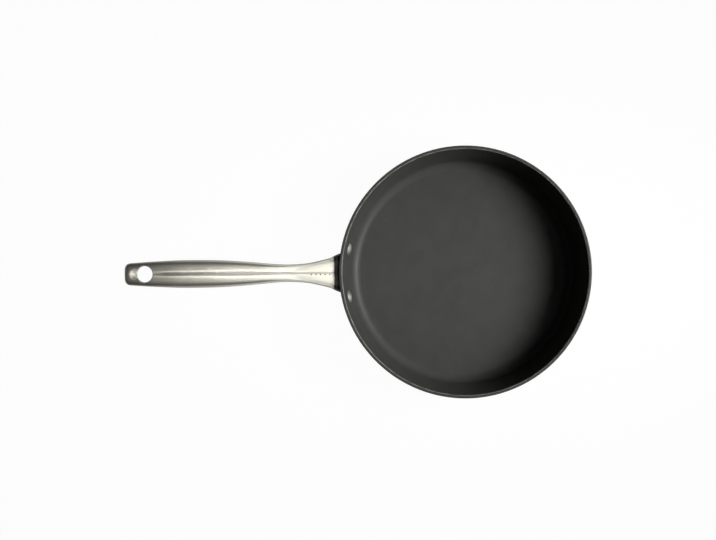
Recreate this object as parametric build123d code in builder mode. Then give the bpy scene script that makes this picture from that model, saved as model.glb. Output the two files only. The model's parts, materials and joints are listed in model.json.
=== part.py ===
from build123d import *
from math import asin, cos, degrees, radians, sin, sqrt, tan
import os

os.makedirs("parts", exist_ok=True)

# Frying pan with a riveted bracket and a hollow steel handle, in millimetres.
# The origin is on the pan's axis at its underside. The handle points along -X.

# Pan
rim_radius = 130.0
pan_height = 49.2
wall_thickness = 3.4
floor_thickness = 4.2
wall_lean = 14.0
inner_corner_radius = 10.0
rim_round = 0.9

# Handle: a creased shell on an arc that climbs away from the pan and levels out
handle_span = 208.8
shoulder_stand = 6.6
shoulder_drop = 10.5
root_rise = 18.5
tip_rise = 1.0
handle_width = 28.0
handle_depth = 12.0
handle_wall = 1.5
crease_depth = 0.42
crown_share = 0.42
hang_hole_radius = 8.2
hang_hole_inset = 20.0
hang_hole_round = 0.6
scoop_radius = 8.7
scoop_depth = 1.3
scoop_offset = 5.8
dimple_radius = 0.85
dimple_depth = 0.6
dimple_side = 1.6
dimple_pitch = 4.8
dimple_start = 5.0
dimple_count = 5

# Bracket: a curved flange on the pan's wall, a neck and a tang inside the handle
flange_thickness = 2.4
flange_lip = 3.5
flange_corner = 7.0
flange_edge_round = 0.7
neck_flare = 2.95
neck_depth = 14.6
neck_stand = 0.6
neck_drop = 11.8
tang_share = 0.16

# Rivets: a domed head inside the pan, and a flatter set head on the flange
rivet_drop = 18.0
rivet_stand = 0.9
rivet_shank_radius = 3.0
rivet_head_radius = 6.2
rivet_head_height = 2.2
rivet_tail_radius = 5.0
rivet_tail_height = 1.8
rivet_rim_height = 0.5

# Screw: a round head on a spot face under the handle
screw_radius = 2.0
screw_length = 8.0
screw_head_radius = 3.8
screw_head_height = 2.2
screw_rim_height = 0.9
spot_depth = 0.6
socket_width = 2.5
socket_depth = 1.3

# Fits
wall_gap = 0.1
head_gap = 0.03
rivet_gap = 0.1
tang_gap = 0.15
screw_gap = 0.25
thread_gap = 0.03

overrun = 5.0

# Sections along the handle: share of the arc, shares of the handle's width, depth and crease, how
# far out on the half width the crease's lips stand, and how full the crown is.
shell_station_shares = (
    (0.000, 1.190, 1.16, 0.55, 0.10, 1.0),
    (0.035, 1.010, 1.10, 0.60, 0.11, 1.0),
    (0.070, 0.885, 1.04, 0.65, 0.12, 1.0),
    (0.120, 0.735, 0.96, 0.70, 0.13, 0.9),
    (0.170, 0.660, 0.90, 0.75, 0.14, 0.8),
    (0.225, 0.635, 0.88, 0.80, 0.15, 0.7),
    (0.290, 0.680, 0.89, 0.85, 0.17, 0.6),
    (0.370, 0.790, 0.92, 0.95, 0.19, 0.5),
    (0.460, 0.900, 0.96, 1.00, 0.19, 0.4),
    (0.550, 0.975, 1.00, 0.90, 0.15, 0.3),
    (0.650, 1.000, 0.99, 0.80, 0.11, 0.2),
    (0.750, 0.990, 0.92, 0.75, 0.10, 0.1),
    (0.830, 0.935, 0.80, 0.70, 0.10, 0.0),
)
tip_station_shares = (
    (0.910, 0.865, 0.68, 0.00, 0.10, 0.0),
    (0.960, 0.812, 0.62, 0.00, 0.10, 0.0),
    (0.980, 0.778, 0.60, 0.00, 0.10, 0.0),
    (0.990, 0.710, 0.54, 0.00, 0.10, 0.0),
    (0.996, 0.600, 0.43, 0.00, 0.10, 0.0),
    (1.000, 0.460, 0.25, 0.00, 0.10, 0.0),
)

# The crown on each side of the crease where it is round, and where it is full: shares of the half
# width and of the rise. It leaves the handle's side straight up, at the pace of its own length.
round_crown_shares = ((0.88, 0.50), (0.62, 0.81), (0.36, 0.955))
full_crown_shares = ((0.955, 0.52), (0.80, 0.86), (0.45, 0.98))
crown_pace_shares = (1, 1)

lean = radians(wall_lean)
rim_corner_radius = rim_radius + rim_round * (tan(lean) + 1 / cos(lean) - 1)
shoulder_reach = rim_radius + shoulder_stand
path_radius = handle_span / (sin(radians(root_rise)) - sin(radians(tip_rise)))
path_length = path_radius * radians(root_rise - tip_rise)
wall_span = wall_thickness * cos(lean)
flange_span = wall_span + wall_gap + flange_thickness


def outer_wall_radius(height):
    """Radius of the pan's outside at a height."""
    return rim_corner_radius - (pan_height - height) * tan(lean)


def inner_wall_radius(height):
    """Radius of the pan's inside at a height."""
    return outer_wall_radius(height) - wall_thickness


def path_plane(share):
    """Plane across the handle's middle line at a share of its arc, facing the far end, y axis up."""
    slope = radians(root_rise + share * (tip_rise - root_rise))
    reach = shoulder_reach + path_radius * (sin(radians(root_rise)) - sin(slope))
    height = pan_height - shoulder_drop + path_radius * (cos(slope) - cos(radians(root_rise)))
    return Plane(origin=(-reach, 0, height), x_dir=(0, -1, 0), z_dir=(-cos(slope), 0, sin(slope)))


def section_outline(width, depth, crease, lip_share, fullness, inset=0):
    """Outline across the handle: an elliptical belly under a crown with a crease along its middle."""
    half = width / 2 - inset
    rise = depth * crown_share - inset
    belly = depth * (1 - crown_share) - inset
    side = [
        (half * (across + fullness * (full_across - across)), rise * (up + fullness * (full_up - up)))
        for (across, up), (full_across, full_up) in zip(round_crown_shares, full_crown_shares)
    ]
    side.append((half * lip_share, rise))
    EllipticalCenterArc((0, 0), half, belly, start_angle=180, arc_size=180)
    Spline(
        (half, 0),
        *side,
        (0, rise - crease),
        *[(-across, up) for across, up in reversed(side)],
        (-half, 0),
        tangents=((0, 1), (0, -1)),
        tangent_scalars=crown_pace_shares,
    )


def handle_section(station, inset=0):
    """Outline of the handle at one of its stations, drawn in by an inset."""
    share, width, depth, crease, lip_share, fullness = station
    section_outline(
        width * handle_width, depth * handle_depth, crease * crease_depth, lip_share, fullness, inset
    )


def lip_level(share):
    """Height of the crease's lips above the handle's middle line, also between two stations."""
    for near, far in zip(shell_station_shares, shell_station_shares[1:]):
        if share <= far[0]:
            part = (share - near[0]) / (far[0] - near[0])
            return (near[2] + part * (far[2] - near[2])) * handle_depth * crown_share


def rivet_axes(azimuth):
    """Where a rivet meets the pan's inside, the way out along its axis, and the way round the wall."""
    turn = radians(azimuth)
    radius = inner_wall_radius(rivet_height)
    start = (radius * cos(turn), radius * sin(turn), rivet_height)
    outward = (cos(lean) * cos(turn), cos(lean) * sin(turn), -sin(lean))
    sideways = (-sin(turn), cos(turn), 0)
    return start, outward, sideways


rivet_height = pan_height - rivet_drop
root_share, root_width, root_depth, root_crease, root_lip, root_fullness = shell_station_shares[0]
neck_width = root_width * handle_width + 2 * neck_flare
tail_reach = inner_wall_radius(rivet_height) + flange_span * cos(lean)
tail_side = neck_width / 2 + rivet_stand + rivet_tail_radius
rivet_angle = degrees(asin(tail_side / tail_reach))
flange_half_angle = degrees(asin((tail_side + rivet_tail_radius + flange_lip) / tail_reach))
rivet_azimuths = {"rivet_left": 180 - rivet_angle, "rivet_right": 180 + rivet_angle}

with BuildPart() as pan_body:
    with BuildSketch(Plane.XZ):
        with BuildLine():
            FilletPolyline(
                (0, 0),
                (outer_wall_radius(0), 0),
                (rim_corner_radius, pan_height),
                (rim_corner_radius - wall_thickness, pan_height),
                (inner_wall_radius(floor_thickness), floor_thickness),
                (0, floor_thickness),
                radius=[inner_corner_radius + wall_thickness, rim_round, rim_round, inner_corner_radius],
            )
            Line((0, floor_thickness), (0, 0))
        make_face()
    revolve(axis=Axis.Z)
    for azimuth in rivet_azimuths.values():
        start, outward, sideways = rivet_axes(azimuth)
        with BuildSketch(Plane(origin=start, x_dir=sideways, z_dir=outward)):
            Circle(rivet_shank_radius + rivet_gap)
        extrude(amount=wall_span + overrun, both=True, mode=Mode.SUBTRACT)
pan_body.part.label = "pan_body"
export_step(pan_body.part, "parts/pan_body.step")

screw_share, screw_width, screw_depth = shell_station_shares[2][:3]
screw_section = path_plane(screw_share)
spot_level = spot_depth - handle_depth * screw_depth * (1 - crown_share)
spot_centre = screw_section.from_local_coords((0, spot_level, 0))
screw_plane = Plane(origin=spot_centre, x_dir=screw_section.x_dir, z_dir=-screw_section.y_dir)

with BuildPart() as handle:
    for station in shell_station_shares + tip_station_shares:
        with BuildSketch(path_plane(station[0])):
            with BuildLine():
                handle_section(station)
            make_face()
    loft()
    for station in shell_station_shares:
        with BuildSketch(path_plane(station[0])):
            with BuildLine():
                handle_section(station, handle_wall)
            make_face()
    loft(mode=Mode.SUBTRACT)

    # The hanging hole has soft mouths, and a shallow dish opens into its far side.
    tip_top = path_plane(tip_station_shares[0][0]).from_local_coords(
        (0, handle_depth * tip_station_shares[0][2] * crown_share, 0)
    )
    hole_reach = shoulder_reach + handle_span - hang_hole_inset
    with BuildSketch(Plane.XY.offset(tip_top.Z)):
        with Locations((-hole_reach, 0)):
            Circle(hang_hole_radius)
    extrude(amount=handle_depth, both=True, mode=Mode.SUBTRACT)
    bore = handle.faces().filter_by(GeomType.CYLINDER).sort_by(Axis.X)[0]
    fillet(bore.edges().filter_by(GeomType.LINE, reverse=True), hang_hole_round)
    dish_radius = (scoop_radius**2 + scoop_depth**2) / (2 * scoop_depth)
    with Locations((-hole_reach - scoop_offset, 0, tip_top.Z + dish_radius - scoop_depth)):
        Sphere(dish_radius, mode=Mode.SUBTRACT)

    # A row of small flat dimples runs along one lip of the crease, out from the root.
    for index in range(dimple_count):
        share = (dimple_start + index * dimple_pitch) / path_length
        section = path_plane(share)
        pit = section.from_local_coords((dimple_side, lip_level(share) - dimple_depth, 0))
        with BuildSketch(Plane(origin=pit, x_dir=section.x_dir, z_dir=section.y_dir)):
            Circle(dimple_radius)
        extrude(amount=handle_depth, mode=Mode.SUBTRACT)

    with BuildSketch(screw_plane):
        Circle(screw_head_radius + screw_gap)
    extrude(amount=handle_depth, mode=Mode.SUBTRACT)
    with BuildSketch(screw_plane):
        Circle(screw_radius + screw_gap)
    extrude(amount=-handle_wall - overrun / 2, mode=Mode.SUBTRACT)
handle.part.label = "handle"
export_step(handle.part, "parts/handle.step")

with BuildPart() as handle_bracket:
    for station in shell_station_shares:
        with BuildSketch(path_plane(station[0])):
            with BuildLine():
                handle_section(station, handle_wall + tang_gap)
            make_face()
    loft()
    split(bisect_by=path_plane(tang_share), keep=Keep.BOTTOM)

    # The flange starts as a slice of cone and is trimmed to the pan's wall at the end.
    flange_centre = rivet_height - (wall_span + flange_thickness / 2) * sin(lean)
    flange_low = flange_centre - rivet_tail_radius - flange_lip
    flange_high = flange_centre + rivet_tail_radius + flange_lip
    flange_reach = wall_gap + flange_thickness / cos(lean)
    with BuildSketch(Plane.XZ.rotated((0, 0, 180 - flange_half_angle))):
        with BuildLine():
            Polyline(
                (inner_wall_radius(flange_low), flange_low),
                (outer_wall_radius(flange_low) + flange_reach, flange_low),
                (outer_wall_radius(flange_high) + flange_reach, flange_high),
                (inner_wall_radius(flange_high), flange_high),
                close=True,
            )
        make_face()
    revolve(axis=Axis.Z, revolution_arc=2 * flange_half_angle)
    fillet(handle_bracket.edges(Select.LAST).group_by(SortBy.LENGTH)[0], flange_corner)
    flange_face = handle_bracket.faces().filter_by(GeomType.CONE).sort_by(SortBy.AREA)[-1]
    fillet(flange_face.edges(), flange_edge_round)

    # The neck runs from the handle's root section to the flange.
    neck_plane = Plane(
        origin=(-rim_radius - neck_stand, 0, pan_height - neck_drop), x_dir=(0, -1, 0), z_dir=(-1, 0, 0)
    )
    foot_plane = Plane(
        origin=(-inner_wall_radius(flange_centre), 0, flange_centre), x_dir=(0, -1, 0), z_dir=(-1, 0, 0)
    )
    with BuildSketch(foot_plane):
        with BuildLine():
            section_outline(neck_width, flange_high - flange_low, 0, root_lip, root_fullness)
        make_face()
    with BuildSketch(neck_plane):
        with BuildLine():
            section_outline(neck_width, neck_depth, crease_depth / 2, root_lip, root_fullness)
        make_face()
    with BuildSketch(path_plane(root_share)):
        with BuildLine():
            handle_section(shell_station_shares[0])
        make_face()
    loft()

    with BuildSketch(Plane.XZ):
        with BuildLine():
            Polyline(
                (0, -overrun),
                (outer_wall_radius(-overrun) + wall_gap, -overrun),
                (outer_wall_radius(pan_height + overrun) + wall_gap, pan_height + overrun),
                (0, pan_height + overrun),
                close=True,
            )
        make_face()
    revolve(axis=Axis.Z, mode=Mode.SUBTRACT)
    for azimuth in rivet_azimuths.values():
        start, outward, sideways = rivet_axes(azimuth)
        with BuildSketch(Plane(origin=start, x_dir=sideways, z_dir=outward)):
            Circle(rivet_shank_radius + rivet_gap)
        extrude(amount=flange_span + overrun, mode=Mode.SUBTRACT)
    with BuildSketch(screw_plane):
        Circle(screw_radius + thread_gap)
    extrude(amount=-screw_length - screw_gap, mode=Mode.SUBTRACT)
handle_bracket.part.label = "handle_bracket"
export_step(handle_bracket.part, "parts/handle_bracket.step")

# The wall is hollow under a rivet's flat head, so the head stands off by the wall's rise across it.
head_seat = head_gap + rivet_head_radius**2 / (2 * inner_wall_radius(rivet_height))
tail_seat = flange_span + head_gap
for name, azimuth in rivet_azimuths.items():
    start, outward, sideways = rivet_axes(azimuth)
    with BuildPart() as rivet:
        with BuildSketch(Plane(origin=start, x_dir=outward, z_dir=sideways)):
            with BuildLine():
                Line((-head_seat - rivet_head_height, 0), (tail_seat + rivet_tail_height, 0))
                TangentArc(
                    (tail_seat + rivet_tail_height, 0),
                    (tail_seat + rivet_rim_height, rivet_tail_radius),
                    tangent=(0, 1),
                )
                Polyline(
                    (tail_seat + rivet_rim_height, rivet_tail_radius),
                    (tail_seat, rivet_tail_radius),
                    (tail_seat, rivet_shank_radius),
                    (-head_seat, rivet_shank_radius),
                    (-head_seat, rivet_head_radius),
                    (-head_seat - rivet_rim_height, rivet_head_radius),
                )
                TangentArc(
                    (-head_seat - rivet_head_height, 0),
                    (-head_seat - rivet_rim_height, rivet_head_radius),
                    tangent=(0, 1),
                )
            make_face()
        revolve(axis=Axis(start, outward))
    rivet.part.label = name
    export_step(rivet.part, f"parts/{name}.step")

with BuildPart() as handle_screw:
    with BuildSketch(screw_plane):
        Circle(screw_head_radius)
    extrude(amount=screw_head_height)
    fillet(handle_screw.faces().sort_by(Axis.Z)[0].edges(), screw_head_height - screw_rim_height)
    with BuildSketch(screw_plane):
        Circle(screw_radius)
    extrude(amount=-screw_length)
    with BuildSketch(screw_plane.offset(screw_head_height)):
        RegularPolygon(socket_width / sqrt(3), side_count=6)
    extrude(amount=-socket_depth, mode=Mode.SUBTRACT)
handle_screw.part.label = "handle_screw"
export_step(handle_screw.part, "parts/handle_screw.step")
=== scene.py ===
import json
import math

import bpy
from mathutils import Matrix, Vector


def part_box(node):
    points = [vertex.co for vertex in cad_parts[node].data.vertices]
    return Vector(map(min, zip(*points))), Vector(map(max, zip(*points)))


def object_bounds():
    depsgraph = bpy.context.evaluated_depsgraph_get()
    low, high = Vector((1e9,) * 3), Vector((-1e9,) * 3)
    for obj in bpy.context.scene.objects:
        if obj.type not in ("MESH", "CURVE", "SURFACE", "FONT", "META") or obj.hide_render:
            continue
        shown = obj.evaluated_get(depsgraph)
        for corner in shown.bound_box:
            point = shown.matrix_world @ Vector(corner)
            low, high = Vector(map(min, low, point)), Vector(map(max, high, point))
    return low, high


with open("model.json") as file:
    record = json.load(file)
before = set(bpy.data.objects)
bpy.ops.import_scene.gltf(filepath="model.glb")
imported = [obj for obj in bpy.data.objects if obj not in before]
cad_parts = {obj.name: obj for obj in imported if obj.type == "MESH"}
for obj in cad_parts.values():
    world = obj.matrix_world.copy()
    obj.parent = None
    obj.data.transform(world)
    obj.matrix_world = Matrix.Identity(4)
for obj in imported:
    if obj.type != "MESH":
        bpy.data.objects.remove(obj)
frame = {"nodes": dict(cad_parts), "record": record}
cad_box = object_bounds()

bl_info = {
    "name": "Omelette pan studio",
    "version": (1, 0, 0),
    "blender": (4, 5, 0),
    "location": "3D View > Sidebar > Omelette pan",
    "description": "Finishes an omelette pan and sets it on a pale floor under soft light",
    "category": "Object",
}

# Places on the part that the finishes follow, in metres.
pan_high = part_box("pan_body")[1]
handle_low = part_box("handle")[0]
mounts = {mount["name"]: mount["pos_m"] for mount in frame["record"]["mounts"]}
hole_x = mounts["hanging_hole"][0]

# The arc that the handle's middle line follows, read off the part's sizes, in metres and radians.
HANDLE_ARC_CENTRE = (-0.3575, 0.0, -0.6216)
HANDLE_ARC_RADIUS = 0.6963
HANDLE_ROOT_TURN = math.radians(18.5)

# Pan: the rim's top is painted lighter from one depth under it to the other, a painted sheen with some
# rub wear, and its inner lip carries a painted highlight.
RIM_TOP_DEPTH = (0.0014, 0.0008)
RIM_SHEEN_AND_RUB_SHARE = 0.08
LIP_INSET = 0.0022
LIP_HIGHLIGHT_SHARE = 0.72
LIP_PATCH_SIZE = 0.010
LIP_PATCH_SHARE = (0.4, 1.0)

# Pan: roughness in the shady and the light patches, and what the wall and the corner add to it.
PAN_ROUGHNESS = (0.395, 0.355)
CORNER_ROUGHNESS = 0.10
WALL_ROUGHNESS = 0.40
# Pan: the share of black painted on the steep wall as painted shade.
WALL_PAINTED_SHADE_SHARE = 0.15

# Pan: where each of these fades out, as the upward part of the way that the surface faces.
LIP_FACING = (0.88, 0.97)
CORNER_FACING = (0.90, 0.99)
WALL_FACING = (0.35, 0.75)
WALL_PAINTED_SHADE_FACING = (0.35, 0.80)

# Pan: turned rings show below this height.
UNDERSIDE_HEIGHT = 0.0004

# Pan: the pores lie about one spacing apart, and a share of them catches the light.
PORE_SPACING = 0.003846
PORE_RADIUS = 0.000346
PORE_CHANCE = 0.18
PORE_LIGHT_SHARE = 0.35

# Bracket: its roughness where the coat is thick and thin, and how much lighter the thin coat is.
BRACKET_ROUGHNESS = (0.40, 0.50)
BRACKET_THIN_TINT = 1.7

# Handle: where each painted shade, the neck's painted highlight and the neck's roughness fade in or
# out, measured along X from its tip.
TIP_FADE = (0.0, 0.055)
CREASE_START = (0.023, 0.031)
CREASE_FADE = (0.105, 0.205)
GRIP_FADE = (0.075, 0.155)
NECK_FADE = (0.140, 0.185)

# Handle: how strong each painted shade and the neck's painted highlight is, from one end of its fade to
# the other where there are two.
TIP_SHADE_SHARE = 0.6
SCOOP_SHARE = 0.8
CREASE_SHARE = (0.65, 0.40)
FLANK_SHARE = 0.7
FLANK_SHARE_AT_NECK = 0.1
EDGE_SHARE = 0.8
DIMPLE_SHARE = 0.8
NECK_HIGHLIGHT_SHARE = 0.8

# Handle: where the crease's painted shade ends as the surface tips over, and where the painted shade of
# the flank and the edge starts.
CREASE_FACING = (0.3, 0.7)
FLANK_STEEPNESS = (0.40, 0.90)
EDGE_STEEPNESS = (0.75, 0.95)

# Handle: roughness inside and between the brush lines, and what the neck adds to it. A broad brush
# line is this many fine ones wide.
HANDLE_ROUGHNESS = (0.46, 0.41)
NECK_ROUGHNESS = 0.30
BROAD_LINE = 5.0

# Handle: the half width of the crease's painted shade, and the scoop on the tip's side of the hole,
# where the tip's painted shade is lighter.
CREASE_HALF_WIDTH = (0.0003, 0.0013)
SCOOP_OFFSET = 0.0058
SCOOP_RADIUS = (0.0078, 0.0090)

# Handle: the row of dimples, measured along the arc from the handle's root, and its place across.
DIMPLE_COUNT = 5
FIRST_DIMPLE = 0.0050
DIMPLE_PITCH = 0.0048
DIMPLE_RADIUS = (0.0006, 0.0010)
DIMPLE_ROW_Y = -0.0016

# Fasteners: roughness in the grain's hollows and on its tops, the darker metal, and the screw's lean.
RIVET_ROUGHNESS = (0.46, 0.40)
RIVET_DARK_TINT = 0.82
SCREW_ROUGHNESS = (0.36, 0.28)
SCREW_DARK_TINT = 0.85
SCREW_LEAN = math.radians(17.3)

# Studio: the floor's corners, its gap under the pan, its roughness and its darker paper.
FLOOR_SIDES = 96
FLOOR_GAP = 0.0002
FLOOR_ROUGHNESS = (0.85, 0.95)
FLOOR_DARK_TINT = 0.985

# Studio: the sky's pale band, as the upward part of a direction, and the sensor in millimetres.
PALE_BAND = (0.05, 0.32)
SENSOR_WIDTH = 36.0

# The part of a noise's 0 to 1 that each pattern is stretched from.
MOTTLE_RANGE = (0.35, 0.65)
PATCH_RANGE = (0.38, 0.60)
THIN_RANGE = (0.40, 0.62)
LINES_RANGE = (0.32, 0.68)
GRAIN_RANGE = (0.3, 0.7)


class PanFinish(bpy.types.PropertyGroup):
    colour: bpy.props.FloatVectorProperty(
        name="Colour",
        description="The anodised skin where it is lightest",
        subtype="COLOR",
        size=3,
        min=0.0,
        max=1.0,
        default=(0.0565, 0.0565, 0.0513),
    )
    shade: bpy.props.FloatVectorProperty(
        name="Shade",
        description="The anodised skin where it is darkest",
        subtype="COLOR",
        size=3,
        min=0.0,
        max=1.0,
        default=(0.0505, 0.0505, 0.0465),
    )
    pore_colour: bpy.props.FloatVectorProperty(
        name="Pore colour",
        description="The light that a pore in the skin catches",
        subtype="COLOR",
        size=3,
        min=0.0,
        max=1.0,
        default=(0.20, 0.20, 0.19),
    )
    # Painted sheen with some rub wear: the rim's top is painted towards this colour.
    rim_sheen_and_rub_colour: bpy.props.FloatVectorProperty(
        name="Rim colour",
        description="What the top of the rim is rubbed towards",
        subtype="COLOR",
        size=3,
        min=0.0,
        max=1.0,
        default=(0.16, 0.16, 0.15),
    )
    # Painted highlight: the rim's inner edge is painted towards this colour.
    lip_highlight_colour: bpy.props.FloatVectorProperty(
        name="Lip colour",
        description="The bare metal along the rim's inner edge",
        subtype="COLOR",
        size=3,
        min=0.0,
        max=1.0,
        default=(0.34, 0.34, 0.32),
    )
    mottle_size: bpy.props.FloatProperty(
        name="Mottle size",
        description="How far apart the faint patches lie",
        unit="LENGTH",
        default=0.018,
    )
    grain_size: bpy.props.FloatProperty(
        name="Grain size",
        description="Width of the blasted grain under the skin",
        unit="LENGTH",
        default=0.0007,
    )
    grain_height: bpy.props.FloatProperty(
        name="Grain height",
        description="Height of the blasted grain",
        unit="LENGTH",
        default=0.00003,
    )
    ring_pitch: bpy.props.FloatProperty(
        name="Ring pitch",
        description="Distance between the turned rings under the pan",
        unit="LENGTH",
        default=0.0009,
    )
    ring_height: bpy.props.FloatProperty(
        name="Ring height",
        description="Height of the turned rings under the pan",
        unit="LENGTH",
        default=0.00004,
    )


class HandleFinish(bpy.types.PropertyGroup):
    colour: bpy.props.FloatVectorProperty(
        name="Colour",
        description="The steel between its brush lines",
        subtype="COLOR",
        size=3,
        min=0.0,
        max=1.0,
        default=(0.74, 0.72, 0.63),
    )
    shade: bpy.props.FloatVectorProperty(
        name="Shade",
        description="The steel inside its brush lines",
        subtype="COLOR",
        size=3,
        min=0.0,
        max=1.0,
        default=(0.63, 0.61, 0.53),
    )
    # Painted highlight: the neck is painted towards this paler colour.
    neck_highlight_colour: bpy.props.FloatVectorProperty(
        name="Neck colour",
        description="The paler steel of the neck",
        subtype="COLOR",
        size=3,
        min=0.0,
        max=1.0,
        default=(0.84, 0.83, 0.75),
    )
    # Painted shade: the tip is painted darker towards this colour.
    tip_shade_colour: bpy.props.FloatVectorProperty(
        name="Tip colour",
        description="What the steel darkens towards at the tip",
        subtype="COLOR",
        size=3,
        min=0.0,
        max=1.0,
        default=(0.16, 0.15, 0.12),
    )
    # Painted shade: the crease, the sides, the edges and the dimples are painted towards this colour.
    painted_shade_colour: bpy.props.FloatVectorProperty(
        name="Painted shade colour",
        description="Steel that the brush doesn't reach",
        subtype="COLOR",
        size=3,
        min=0.0,
        max=1.0,
        default=(0.10, 0.095, 0.08),
    )
    line_width: bpy.props.FloatProperty(
        name="Line width",
        description="Width of one brush line",
        unit="LENGTH",
        default=0.0003,
    )
    line_length: bpy.props.FloatProperty(
        name="Line length",
        description="How far a brush line runs along the handle",
        unit="LENGTH",
        default=0.03,
    )
    line_height: bpy.props.FloatProperty(
        name="Line height",
        description="Depth of the brush lines",
        unit="LENGTH",
        default=0.00002,
    )


class BracketFinish(bpy.types.PropertyGroup):
    colour: bpy.props.FloatVectorProperty(
        name="Colour",
        description="The black coat of the bracket",
        subtype="COLOR",
        size=3,
        min=0.0,
        max=1.0,
        default=(0.020, 0.020, 0.017),
    )
    grain_size: bpy.props.FloatProperty(
        name="Grain size",
        description="Width of the cast skin's bumps",
        unit="LENGTH",
        default=0.0009,
    )
    grain_height: bpy.props.FloatProperty(
        name="Grain height",
        description="Height of the cast skin's bumps",
        unit="LENGTH",
        default=0.00004,
    )
    thin_size: bpy.props.FloatProperty(
        name="Thin size",
        description="How far apart the thin places in the coat lie",
        unit="LENGTH",
        default=0.006,
    )
    edge_radius: bpy.props.FloatProperty(
        name="Edge radius",
        description="How far the coat softens the casting's edges",
        unit="LENGTH",
        default=0.0006,
    )


class FastenerFinish(bpy.types.PropertyGroup):
    rivet_colour: bpy.props.FloatVectorProperty(
        name="Rivet colour",
        description="The aluminium of the two rivets",
        subtype="COLOR",
        size=3,
        min=0.0,
        max=1.0,
        default=(0.86, 0.86, 0.83),
    )
    dent_size: bpy.props.FloatProperty(
        name="Dent size",
        description="Width of the rivets' hammer dents",
        unit="LENGTH",
        default=0.0016,
    )
    dent_height: bpy.props.FloatProperty(
        name="Dent height",
        description="Depth of the rivets' hammer dents",
        unit="LENGTH",
        default=0.00005,
    )
    rivet_grain_size: bpy.props.FloatProperty(
        name="Rivet grain size",
        description="Width of the rivets' grain",
        unit="LENGTH",
        default=0.0003,
    )
    rivet_grain_height: bpy.props.FloatProperty(
        name="Rivet grain height",
        description="Height of the rivets' grain",
        unit="LENGTH",
        default=0.00001,
    )
    screw_colour: bpy.props.FloatVectorProperty(
        name="Screw colour",
        description="The steel of the screw under the handle",
        subtype="COLOR",
        size=3,
        min=0.0,
        max=1.0,
        default=(0.55, 0.55, 0.53),
    )
    turning_pitch: bpy.props.FloatProperty(
        name="Turning pitch",
        description="Distance between the turned lines on the screw's head",
        unit="LENGTH",
        default=0.00025,
    )
    turning_height: bpy.props.FloatProperty(
        name="Turning height",
        description="Height of the turned lines",
        unit="LENGTH",
        default=0.000008,
    )
    screw_grain_size: bpy.props.FloatProperty(
        name="Screw grain size",
        description="Width of the screw's grain",
        unit="LENGTH",
        default=0.0004,
    )


class StudioSettings(bpy.types.PropertyGroup):
    floor_colour: bpy.props.FloatVectorProperty(
        name="Floor colour",
        description="Colour of the floor under the pan",
        subtype="COLOR",
        size=3,
        min=0.0,
        max=1.0,
        default=(0.86, 0.86, 0.86),
    )
    floor_radius: bpy.props.FloatProperty(
        name="Floor radius",
        description="How far the floor runs out",
        unit="LENGTH",
        default=12.0,
    )
    paper_size: bpy.props.FloatProperty(
        name="Paper size",
        description="Size of the floor's faint patches",
        unit="LENGTH",
        default=0.004,
    )
    floor_glow: bpy.props.FloatProperty(
        name="Floor glow",
        description="Share of plain white in what the camera sees of the floor",
        default=0.97,
    )
    sky_light: bpy.props.FloatProperty(
        name="Sky light",
        description="Brightness of the sky that lights the pan",
        default=0.01,
    )
    sky_pale: bpy.props.FloatProperty(
        name="Pale sky",
        description="Brightness of the sky that the camera sees",
        default=0.95,
    )
    side_lamp_distance: bpy.props.FloatProperty(
        name="Side lamp distance",
        description="Distance from the pan to the middle of the side lamp",
        unit="LENGTH",
        default=0.86,
    )
    side_lamp_elevation: bpy.props.FloatProperty(
        name="Side lamp elevation",
        description="Height angle of the side lamp",
        unit="ROTATION",
        default=math.radians(39.8),
    )
    side_lamp_width: bpy.props.FloatProperty(
        name="Side lamp width",
        description="Level width of the side lamp",
        unit="LENGTH",
        default=0.34,
    )
    side_lamp_height: bpy.props.FloatProperty(
        name="Side lamp height",
        description="Width of the side lamp up its slope",
        unit="LENGTH",
        default=0.38,
    )
    side_lamp_spread: bpy.props.FloatProperty(
        name="Side lamp spread",
        description="Angle of the side lamp's beam, which fades towards the rim of the pan",
        unit="ROTATION",
        default=math.radians(46.0),
    )
    side_lamp_power: bpy.props.FloatProperty(
        name="Side lamp power",
        description="Power of the side lamp in watts",
        default=1.0,
    )
    top_lamp_place: bpy.props.FloatVectorProperty(
        name="Top lamp place",
        description="Middle of the top lamp",
        subtype="TRANSLATION",
        size=3,
        default=(0.10, -0.045, 1.45),
    )
    top_lamp_size: bpy.props.FloatProperty(
        name="Top lamp size",
        description="Side of the square top lamp",
        unit="LENGTH",
        default=0.36,
    )
    top_lamp_turn: bpy.props.FloatProperty(
        name="Top lamp turn",
        description="Turn of the tilted top lamp about the upright, towards the handle",
        unit="ROTATION",
        default=math.radians(-6.6),
    )
    top_lamp_tilt: bpy.props.FloatProperty(
        name="Top lamp tilt",
        description="Tilt of the top lamp towards the handle",
        unit="ROTATION",
        default=math.radians(15.5),
    )
    top_lamp_spread: bpy.props.FloatProperty(
        name="Top lamp spread",
        description="Angle of the top lamp's beam, narrowed so that little of it falls in the pan",
        unit="ROTATION",
        default=math.radians(24.0),
    )
    top_lamp_power: bpy.props.FloatProperty(
        name="Top lamp power",
        description="Power of the top lamp in watts",
        default=0.125,
    )
    camera_place: bpy.props.FloatVectorProperty(
        name="Camera place",
        description="Where the camera stands, over the middle between the rim and the tip",
        subtype="TRANSLATION",
        size=3,
        default=(-0.1104, 0.0028, 1.45),
    )
    camera_lens: bpy.props.FloatProperty(
        name="Camera lens",
        description="Focal length of the camera in millimetres",
        default=68.6,
    )
    camera_roll: bpy.props.FloatProperty(
        name="Camera roll",
        description="Turn of the camera about its line of sight",
        unit="ROTATION",
        default=math.radians(-0.4),
    )


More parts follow.
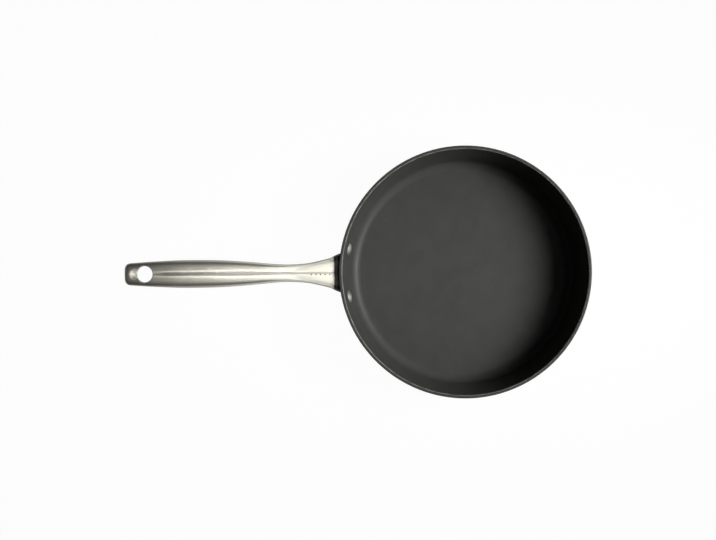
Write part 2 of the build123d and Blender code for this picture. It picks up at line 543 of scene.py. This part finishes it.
def new_material(name):
    """An empty node material with one principled shader on its output."""
    material = bpy.data.materials.new(name)
    material.use_nodes = True
    tree = material.node_tree
    tree.nodes.clear()
    output = tree.nodes.new("ShaderNodeOutputMaterial")
    shader = tree.nodes.new("ShaderNodeBsdfPrincipled")
    tree.links.new(shader.outputs["BSDF"], output.inputs["Surface"])
    return material, tree, shader


def feed(tree, socket, value):
    """Puts a plain value on a socket, or links another node's output to it."""
    if isinstance(value, bpy.types.NodeSocket):
        tree.links.new(value, socket)
    else:
        socket.default_value = value


def calculate(tree, operation, first, second=0.0, third=0.0):
    """One sum on numbers."""
    node = tree.nodes.new("ShaderNodeMath")
    node.operation = operation
    for socket, value in zip(node.inputs, (first, second, third)):
        feed(tree, socket, value)
    return node.outputs["Value"]


def remap(tree, value, low, high, new_low, new_high):
    """Stretches a range of numbers to another range and stops at its ends."""
    node = tree.nodes.new("ShaderNodeMapRange")
    for name, given in (
        ("Value", value),
        ("From Min", low),
        ("From Max", high),
        ("To Min", new_low),
        ("To Max", new_high),
    ):
        feed(tree, node.inputs[name], given)
    return node.outputs["Result"]


def object_place(tree):
    """Where a point lies on the object, in metres."""
    return tree.nodes.new("ShaderNodeTexCoord").outputs["Object"]


def split_place(tree, place):
    """The three parts of a place."""
    node = tree.nodes.new("ShaderNodeSeparateXYZ")
    feed(tree, node.inputs["Vector"], place)
    return node.outputs["X"], node.outputs["Y"], node.outputs["Z"]


def join_place(tree, x, y, z):
    """A place from its three parts."""
    node = tree.nodes.new("ShaderNodeCombineXYZ")
    for socket, value in zip(node.inputs, (x, y, z)):
        feed(tree, socket, value)
    return node.outputs["Vector"]


def noise(tree, place, size, detail=2.0, roughness=0.5):
    """Soft random patches of about the size given."""
    node = tree.nodes.new("ShaderNodeTexNoise")
    feed(tree, node.inputs["Vector"], place)
    node.inputs["Scale"].default_value = 1.0 / size
    node.inputs["Detail"].default_value = detail
    node.inputs["Roughness"].default_value = roughness
    return node.outputs["Fac"]


def blend_colours(tree, share, first, second):
    """Goes from one colour to another."""
    node = tree.nodes.new("ShaderNodeMix")
    node.data_type = "RGBA"
    feed(tree, node.inputs["Factor"], share)
    for name, colour in (("A", first), ("B", second)):
        socket = next(s for s in node.inputs if s.name == name and s.type == "RGBA")
        feed(tree, socket, colour if isinstance(colour, bpy.types.NodeSocket) else (*colour, 1.0))
    return next(s for s in node.outputs if s.type == "RGBA")


def bump(tree, height, distance, under=None):
    """Relief from a height between 0 and 1, on top of a normal if one is given."""
    node = tree.nodes.new("ShaderNodeBump")
    node.inputs["Distance"].default_value = distance
    feed(tree, node.inputs["Height"], height)
    if under is not None:
        feed(tree, node.inputs["Normal"], under)
    return node.outputs["Normal"]


def wear(node_name, material):
    """Puts a finish on one of the part's pieces."""
    mesh = frame["nodes"][node_name].data
    mesh.materials.clear()
    mesh.materials.append(material)


def product(tree, first, *others):
    """Several numbers multiplied together."""
    for other in others:
        first = calculate(tree, "MULTIPLY", first, other)
    return first


def largest(tree, first, *others):
    """The largest of several numbers."""
    for other in others:
        first = calculate(tree, "MAXIMUM", first, other)
    return first


def distance(tree, first, second):
    """How far a point lies from a middle, from its offsets along two axes."""
    squares = calculate(tree, "ADD", product(tree, first, first), product(tree, second, second))
    return calculate(tree, "SQRT", squares)


def unsigned(tree, value):
    """A number without its sign."""
    return calculate(tree, "ABSOLUTE", value)


def facing(tree):
    """Which way the surface faces, as the three parts of its normal."""
    return split_place(tree, tree.nodes.new("ShaderNodeTexCoord").outputs["Normal"])


def turned_lines(tree, radius, pitch):
    """Even waves from 0 to 1 that run out from an axis, as a lathe leaves them."""
    wave = calculate(tree, "SINE", product(tree, radius, 2 * math.pi / pitch))
    return remap(tree, wave, -1.0, 1.0, 0.0, 1.0)


def tint(colour, share):
    """A darker or lighter shade of a colour."""
    return tuple(share * part for part in colour)


def dress(tree, shader, colour, roughness, normal):
    """Puts a colour, a roughness and a relief on a shader."""
    for name, value in (("Base Color", colour), ("Roughness", roughness), ("Normal", normal)):
        feed(tree, shader.inputs[name], value)


def shown_rays(tree):
    """1 for what the camera sees, straight or in metal or glass, and 0 for light on the object."""
    path = tree.nodes.new("ShaderNodeLightPath")
    rays = ("Is Camera Ray", "Is Glossy Ray", "Is Transmission Ray")
    return largest(tree, *(path.outputs[ray] for ray in rays))


class OMELETTE_OT_pan_finish(bpy.types.Operator):
    """Give the pan its hard anodised skin, with turned rings underneath, painted shade on its wall and
    painted light on its rim
    """

    bl_idname = "omelette.pan_finish"
    bl_label = "Pan finish"

    def execute(self, context):
        settings = context.scene.omelette_pan
        material, tree, shader = new_material("anodised")
        place = object_place(tree)
        x, y, z = split_place(tree, place)
        radius = distance(tree, x, y)
        up = facing(tree)[2]
        level = unsigned(tree, up)
        mottle = noise(tree, place, settings.mottle_size, detail=5.0, roughness=0.62)
        mottle = remap(tree, mottle, *MOTTLE_RANGE, 0.0, 1.0)

        skin = blend_colours(tree, mottle, settings.shade, settings.colour)
        skin = blend_colours(tree, self.pores(tree, place), skin, settings.pore_colour)
        # Painted shade: the steep wall is painted darker towards black.
        wall = remap(tree, level, *WALL_PAINTED_SHADE_FACING, WALL_PAINTED_SHADE_SHARE, 0.0)
        skin = blend_colours(tree, wall, skin, (0.0, 0.0, 0.0))
        # Painted sheen with some rub wear on the rim's top.
        painted = self.rim_top_mask(tree, z)
        skin = blend_colours(tree, product(tree, painted, RIM_SHEEN_AND_RUB_SHARE), skin, settings.rim_sheen_and_rub_colour)
        # Painted highlight along the rim's inner edge.
        lip_highlight = self.painted_lip_highlight(tree, place, radius, up, painted)
        skin = blend_colours(tree, lip_highlight, skin, settings.lip_highlight_colour)

        rough = self.roughness(tree, mottle, level)
        dress(tree, shader, skin, rough, self.relief(tree, settings, place, radius, z))
        shader.inputs["Specular IOR Level"].default_value = 0.18
        wear("pan_body", material)
        return {"FINISHED"}

    def pores(self, tree, place):
        """Small dots here and there that catch the light."""
        cells = tree.nodes.new("ShaderNodeTexVoronoi")
        feed(tree, cells.inputs["Vector"], place)
        cells.inputs["Scale"].default_value = 1.0 / PORE_SPACING
        dot = calculate(tree, "LESS_THAN", cells.outputs["Distance"], PORE_RADIUS / PORE_SPACING)
        chance = tree.nodes.new("ShaderNodeSeparateColor")
        feed(tree, chance.inputs["Color"], cells.outputs["Color"])
        chosen = calculate(tree, "GREATER_THAN", chance.outputs["Red"], 1.0 - PORE_CHANCE)
        return product(tree, dot, chosen, PORE_LIGHT_SHARE)

    def rim_top_mask(self, tree, z):
        """1 on the top of the rim, which is painted lighter as a painted sheen with some rub wear, and
        0 below it.
        """
        bottom, top = (pan_high.z - depth for depth in RIM_TOP_DEPTH)
        return remap(tree, z, bottom, top, 0.0, 1.0)

    def painted_lip_highlight(self, tree, place, radius, up, painted):
        """A painted highlight on the rim's inner edge, in patches where it turns down into the pan."""
        inside = calculate(tree, "LESS_THAN", radius, pan_high.x - LIP_INSET)
        turned_down = remap(tree, up, *LIP_FACING, LIP_HIGHLIGHT_SHARE, 0.0)
        patches = noise(tree, place, LIP_PATCH_SIZE, detail=3.0)
        patches = remap(tree, patches, *PATCH_RANGE, *LIP_PATCH_SHARE)
        return product(tree, inside, painted, turned_down, patches)

    def roughness(self, tree, mottle, level):
        """Dullest on the wall and smoothest on the floor, so that the corner keeps its bright ring."""
        skin = remap(tree, mottle, 0.0, 1.0, *PAN_ROUGHNESS)
        corner = remap(tree, level, *CORNER_FACING, CORNER_ROUGHNESS, 0.0)
        wall = remap(tree, level, *WALL_FACING, WALL_ROUGHNESS, 0.0)
        return calculate(tree, "ADD", skin, calculate(tree, "ADD", corner, wall))

    def relief(self, tree, settings, place, radius, z):
        """A blasted grain all over, and turned rings on the underside."""
        under = calculate(tree, "LESS_THAN", z, UNDERSIDE_HEIGHT)
        rings = product(tree, turned_lines(tree, radius, settings.ring_pitch), under)
        grain = noise(tree, place, settings.grain_size, detail=3.0, roughness=0.55)
        return bump(tree, grain, settings.grain_height, bump(tree, rings, settings.ring_height))


class OMELETTE_OT_bracket_finish(bpy.types.Operator):
    """Give the bracket its satin black coat over a cast skin"""

    bl_idname = "omelette.bracket_finish"
    bl_label = "Bracket finish"

    def execute(self, context):
        settings = context.scene.omelette_bracket
        material, tree, shader = new_material("bracket_black")
        place = object_place(tree)
        grain = noise(tree, place, settings.grain_size, detail=3.0)
        thin = noise(tree, place, settings.thin_size, detail=4.0)
        thin = remap(tree, thin, *THIN_RANGE, 0.0, 1.0)
        coat = blend_colours(tree, thin, settings.colour, tint(settings.colour, BRACKET_THIN_TINT))
        soft_edges = tree.nodes.new("ShaderNodeBevel")
        soft_edges.samples = 6
        soft_edges.inputs["Radius"].default_value = settings.edge_radius
        relief = bump(tree, grain, settings.grain_height, soft_edges.outputs["Normal"])
        dress(tree, shader, coat, remap(tree, thin, 0.0, 1.0, *BRACKET_ROUGHNESS), relief)
        wear("handle_bracket", material)
        return {"FINISHED"}


class OMELETTE_OT_handle_finish(bpy.types.Operator):
    """Brush the steel handle along its length, with painted shade and a painted highlight on it"""

    bl_idname = "omelette.handle_finish"
    bl_label = "Handle finish"

    def execute(self, context):
        settings = context.scene.omelette_handle
        material, tree, shader = new_material("handle_steel")
        x, y, z = split_place(tree, object_place(tree))
        normal = facing(tree)
        from_tip = calculate(tree, "SUBTRACT", x, handle_low.x)
        neck = remap(tree, from_tip, *NECK_FADE, 0.0, 1.0)

        # The brush lines and the dimples follow the arc of the handle, so a place is told by how far
        # round the arc it lies, how far across, and how far from the arc's centre.
        reach = calculate(tree, "SUBTRACT", x, HANDLE_ARC_CENTRE[0])
        rise = calculate(tree, "SUBTRACT", z, HANDLE_ARC_CENTRE[2])
        turn = calculate(tree, "ARCTAN2", reach, rise)
        lines = self.brush_lines(tree, settings, turn, y, distance(tree, reach, rise))

        steel = blend_colours(tree, lines, settings.shade, settings.colour)
        # Painted highlight: the neck is painted paler.
        steel = blend_colours(tree, product(tree, neck, NECK_HIGHLIGHT_SHARE), steel, settings.neck_highlight_colour)
        # Painted shade: the tip is painted darker.
        steel = blend_colours(tree, self.painted_tip_shade(tree, x, y, from_tip), steel, settings.tip_shade_colour)
        # Painted shade: the crease, the sides, the edges and the dimples are painted darker.
        painted_shade_mask = largest(
            tree,
            self.crease(tree, y, from_tip, normal),
            self.sides(tree, from_tip, normal),
            self.dimples(tree, turn, y, normal),
        )
        steel = blend_colours(tree, painted_shade_mask, steel, settings.painted_shade_colour)

        rough = remap(tree, lines, 0.0, 1.0, *HANDLE_ROUGHNESS)
        rough = calculate(tree, "MULTIPLY_ADD", neck, NECK_ROUGHNESS, rough)
        dress(tree, shader, steel, rough, bump(tree, lines, settings.line_height))
        shader.inputs["Metallic"].default_value = 1.0
        shader.inputs["Anisotropic"].default_value = 0.45
        shader.inputs["Anisotropic Rotation"].default_value = 0.25
        around = tree.nodes.new("ShaderNodeTangent")
        around.direction_type = "RADIAL"
        around.axis = "X"
        feed(tree, shader.inputs["Tangent"], around.outputs["Tangent"])
        wear("handle", material)
        return {"FINISHED"}

    def brush_lines(self, tree, settings, turn, y, radius):
        """Fine and broad lines that run along the handle."""
        stretch = settings.line_width / settings.line_length
        along = product(tree, turn, HANDLE_ARC_RADIUS * stretch)
        place = join_place(tree, along, y, radius)
        fine = noise(tree, place, settings.line_width, detail=2.0)
        broad = noise(tree, place, BROAD_LINE * settings.line_width, detail=3.0, roughness=0.6)
        both = calculate(tree, "ADD", product(tree, fine, 0.5), product(tree, broad, 0.5))
        return remap(tree, both, *LINES_RANGE, 0.0, 1.0)

    def painted_tip_shade(self, tree, x, y, from_tip):
        """Painted shade that darkens the tip towards its end, a little less in the scoop beside the
        hole.
        """
        tip = remap(tree, from_tip, *TIP_FADE, TIP_SHADE_SHARE, 0.0)
        from_scoop = calculate(tree, "SUBTRACT", x, hole_x - SCOOP_OFFSET)
        scoop = remap(tree, distance(tree, from_scoop, y), *SCOOP_RADIUS, SCOOP_SHARE, 1.0)
        return product(tree, tip, scoop)

    def crease(self, tree, y, from_tip, normal):
        """Painted shade in the crease, which starts at the hole and fades as the crease gets shallower.
        """
        middle = remap(tree, unsigned(tree, y), *CREASE_HALF_WIDTH, 1.0, 0.0)
        top = remap(tree, normal[2], *CREASE_FACING, 0.0, 1.0)
        start = remap(tree, from_tip, *CREASE_START, 0.0, 1.0)
        depth = remap(tree, from_tip, *CREASE_FADE, *CREASE_SHARE)
        return product(tree, middle, top, start, depth)

    def sides(self, tree, from_tip, normal):
        """Painted shade on the sides, most of all along the grip, and on the turned edge all round."""
        ahead, aside = normal[:2]
        steepness = largest(tree, unsigned(tree, aside), product(tree, ahead, -1.0))
        grip = remap(tree, from_tip, *GRIP_FADE, 1.0, FLANK_SHARE_AT_NECK)
        flank = product(tree, remap(tree, steepness, *FLANK_STEEPNESS, 0.0, FLANK_SHARE), grip)
        edge = remap(tree, steepness, *EDGE_STEEPNESS, 0.0, EDGE_SHARE)
        return largest(tree, flank, edge)

    def dimples(self, tree, turn, y, normal):
        """Painted shade inside the row of dimples at the neck."""
        out = product(tree, calculate(tree, "SUBTRACT", HANDLE_ROOT_TURN, turn), HANDLE_ARC_RADIUS)
        past_first = calculate(tree, "SUBTRACT", out, FIRST_DIMPLE)
        along = calculate(tree, "PINGPONG", past_first, DIMPLE_PITCH / 2)
        across = calculate(tree, "SUBTRACT", y, DIMPLE_ROW_Y)
        dark = remap(tree, distance(tree, along, across), *DIMPLE_RADIUS, DIMPLE_SHARE, 0.0)
        row_start = FIRST_DIMPLE - DIMPLE_PITCH / 2
        started = calculate(tree, "GREATER_THAN", out, row_start)
        not_ended = calculate(tree, "LESS_THAN", out, row_start + DIMPLE_COUNT * DIMPLE_PITCH)
        on_top = calculate(tree, "GREATER_THAN", normal[2], 0.0)
        return product(tree, dark, started, not_ended, on_top)


class OMELETTE_OT_rivet_finish(bpy.types.Operator):
    """Give both rivets their satin aluminium"""

    bl_idname = "omelette.rivet_finish"
    bl_label = "Rivet finish"

    def execute(self, context):
        settings = context.scene.omelette_fasteners
        material, tree, shader = new_material("rivet_metal")
        place = object_place(tree)
        dents = noise(tree, place, settings.dent_size, detail=2.0)
        grain = noise(tree, place, settings.rivet_grain_size, detail=2.0)
        darker = tint(settings.rivet_colour, RIVET_DARK_TINT)
        metal = blend_colours(tree, grain, darker, settings.rivet_colour)
        relief = bump(tree, grain, settings.rivet_grain_height, bump(tree, dents, settings.dent_height))
        dress(tree, shader, metal, remap(tree, grain, *GRAIN_RANGE, *RIVET_ROUGHNESS), relief)
        shader.inputs["Metallic"].default_value = 1.0
        for name in ("rivet_left", "rivet_right"):
            wear(name, material)
        return {"FINISHED"}


class OMELETTE_OT_screw_finish(bpy.types.Operator):
    """Give the screw under the handle its turned steel"""

    bl_idname = "omelette.screw_finish"
    bl_label = "Screw finish"

    def execute(self, context):
        settings = context.scene.omelette_fasteners
        material, tree, shader = new_material("screw_steel")
        place = object_place(tree)
        low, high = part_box("handle_screw")
        axis = tree.nodes.new("ShaderNodeMapping")
        axis.vector_type = "TEXTURE"
        axis.inputs["Location"].default_value = (low + high) / 2
        axis.inputs["Rotation"].default_value = (0.0, SCREW_LEAN, 0.0)
        feed(tree, axis.inputs["Vector"], place)
        x, y = split_place(tree, axis.outputs["Vector"])[:2]
        lines = turned_lines(tree, distance(tree, x, y), settings.turning_pitch)
        grain = noise(tree, place, settings.screw_grain_size)
        darker = tint(settings.screw_colour, SCREW_DARK_TINT)
        steel = blend_colours(tree, lines, darker, settings.screw_colour)
        rough = remap(tree, grain, *GRAIN_RANGE, *SCREW_ROUGHNESS)
        dress(tree, shader, steel, rough, bump(tree, lines, settings.turning_height))
        shader.inputs["Metallic"].default_value = 1.0
        wear("handle_screw", material)
        return {"FINISHED"}


class OMELETTE_OT_stage(bpy.types.Operator):
    """Lay the floor, hang the two soft lamps and set the camera over the pan"""

    bl_idname = "omelette.stage"
    bl_label = "Stage"

    def execute(self, context):
        settings = context.scene.omelette_studio
        self.lay_floor(context.scene, settings)
        self.light_sky(context.scene, settings)
        self.hang_lamps(context.scene, settings)
        self.set_camera(context.scene, settings)
        context.scene.view_settings.view_transform = "Standard"
        return {"FINISHED"}

    def lay_floor(self, scene, settings):
        """A round pale floor just under the pan."""
        turns = [2 * math.pi * side / FLOOR_SIDES for side in range(FLOOR_SIDES)]
        corners = [
            (settings.floor_radius * math.cos(turn), settings.floor_radius * math.sin(turn), 0.0)
            for turn in turns
        ]
        mesh = bpy.data.meshes.new("floor")
        mesh.from_pydata(corners, [], [tuple(range(FLOOR_SIDES))])
        mesh.materials.append(self.floor_material(settings))
        floor = bpy.data.objects.new("floor", mesh)
        scene.collection.objects.link(floor)
        floor.location.z = cad_box[0].z - FLOOR_GAP

    def floor_material(self, settings):
        """Pale paper that the camera sees nearly white, with the pan's shadow left on it."""
        material, tree, shader = new_material("floor_paper")
        paper = noise(tree, object_place(tree), settings.paper_size, detail=4.0)
        darker = tint(settings.floor_colour, FLOOR_DARK_TINT)
        colour = blend_colours(tree, paper, darker, settings.floor_colour)
        feed(tree, shader.inputs["Base Color"], colour)
        feed(tree, shader.inputs["Roughness"], remap(tree, paper, *GRAIN_RANGE, *FLOOR_ROUGHNESS))
        glow = tree.nodes.new("ShaderNodeEmission")
        glow.inputs["Color"].default_value = (1.0, 1.0, 1.0, 1.0)
        glow.inputs["Strength"].default_value = 1.0
        mix = tree.nodes.new("ShaderNodeMixShader")
        feed(tree, mix.inputs["Fac"], product(tree, shown_rays(tree), settings.floor_glow))
        feed(tree, mix.inputs[1], shader.outputs["BSDF"])
        feed(tree, mix.inputs[2], glow.outputs["Emission"])
        output = next(node for node in tree.nodes if node.type == "OUTPUT_MATERIAL")
        feed(tree, output.inputs["Surface"], mix.outputs["Shader"])
        return material

    def light_sky(self, scene, settings):
        """A dim even sky that the camera sees pale, and metal sees pale in a band over the floor."""
        world = bpy.data.worlds.new("studio")
        scene.world = world
        world.use_nodes = True
        tree = world.node_tree
        tree.nodes.clear()
        output = tree.nodes.new("ShaderNodeOutputWorld")
        sky = tree.nodes.new("ShaderNodeBackground")
        up = split_place(tree, tree.nodes.new("ShaderNodeTexCoord").outputs["Generated"])[2]
        band = remap(tree, up, *PALE_BAND, 1.0, 0.0)
        camera_ray = tree.nodes.new("ShaderNodeLightPath").outputs["Is Camera Ray"]
        pale = largest(tree, camera_ray, product(tree, band, shown_rays(tree)))
        dim, bright = ((level, level, level) for level in (settings.sky_light, settings.sky_pale))
        feed(tree, sky.inputs["Color"], blend_colours(tree, pale, dim, bright))
        sky.inputs["Strength"].default_value = 1.0
        feed(tree, output.inputs["Surface"], sky.outputs["Background"])

    def hang_lamps(self, scene, settings):
        """A bright soft lamp low on the side away from the handle, and a dim one that tilts at it."""
        elevation = settings.side_lamp_elevation
        self.hang_lamp(
            scene,
            "side_softbox",
            size=(settings.side_lamp_height, settings.side_lamp_width),
            power=settings.side_lamp_power,
            spread=settings.side_lamp_spread,
            place=settings.side_lamp_distance * Vector((math.cos(elevation), 0.0, math.sin(elevation))),
            rotation=(0.0, math.pi / 2 - elevation, 0.0),
        )
        self.hang_lamp(
            scene,
            "top_softbox",
            size=(settings.top_lamp_size, settings.top_lamp_size),
            power=settings.top_lamp_power,
            spread=settings.top_lamp_spread,
            place=settings.top_lamp_place,
            rotation=(0.0, settings.top_lamp_tilt, settings.top_lamp_turn),
        )

    def hang_lamp(self, scene, name, size, power, spread, place, rotation):
        """One rectangular soft lamp, which shines straight down before it is turned."""
        light = bpy.data.lights.new(name, "AREA")
        light.shape = "RECTANGLE"
        light.size, light.size_y = size
        light.energy = power
        light.spread = spread
        lamp = bpy.data.objects.new(name, light)
        scene.collection.objects.link(lamp)
        lamp.location = place
        lamp.rotation_euler = rotation

    def set_camera(self, scene, settings):
        """A camera that looks straight down between the pan and the handle."""
        camera = bpy.data.objects.new("camera", bpy.data.cameras.new("camera"))
        scene.collection.objects.link(camera)
        camera.data.sensor_width = SENSOR_WIDTH
        camera.data.lens = settings.camera_lens
        camera.location = settings.camera_place
        camera.rotation_euler = (0.0, 0.0, settings.camera_roll)
        scene.camera = camera


class OMELETTE_PT_studio(bpy.types.Panel):
    """The steps that finish and stage the pan"""

    bl_idname = "OMELETTE_PT_studio"
    bl_label = "Omelette pan"
    bl_space_type = "VIEW_3D"
    bl_region_type = "UI"
    bl_category = "Omelette pan"

    def draw(self, context):
        for name, settings in SETTINGS.items():
            box = self.layout.box()
            for field in settings.bl_rna.properties:
                if field.identifier not in ("rna_type", "name"):
                    box.prop(getattr(context.scene, name), field.identifier)
        for step in OPERATORS:
            self.layout.operator(step.bl_idname)


SETTINGS = {
    "omelette_pan": PanFinish,
    "omelette_handle": HandleFinish,
    "omelette_bracket": BracketFinish,
    "omelette_fasteners": FastenerFinish,
    "omelette_studio": StudioSettings,
}
OPERATORS = (
    OMELETTE_OT_pan_finish,
    OMELETTE_OT_bracket_finish,
    OMELETTE_OT_handle_finish,
    OMELETTE_OT_rivet_finish,
    OMELETTE_OT_screw_finish,
    OMELETTE_OT_stage,
)


def register():
    for group in (*SETTINGS.values(), *OPERATORS, OMELETTE_PT_studio):
        bpy.utils.register_class(group)
    for name, settings in SETTINGS.items():
        setattr(bpy.types.Scene, name, bpy.props.PointerProperty(type=settings))


def unregister():
    for name in SETTINGS:
        delattr(bpy.types.Scene, name)
    for group in reversed((*SETTINGS.values(), *OPERATORS, OMELETTE_PT_studio)):
        bpy.utils.unregister_class(group)


def main():
    register()
    bpy.ops.omelette.pan_finish()
    bpy.ops.omelette.bracket_finish()
    bpy.ops.omelette.handle_finish()
    bpy.ops.omelette.rivet_finish()
    bpy.ops.omelette.screw_finish()
    bpy.ops.omelette.stage()


if __name__ == "__main__":
    main()
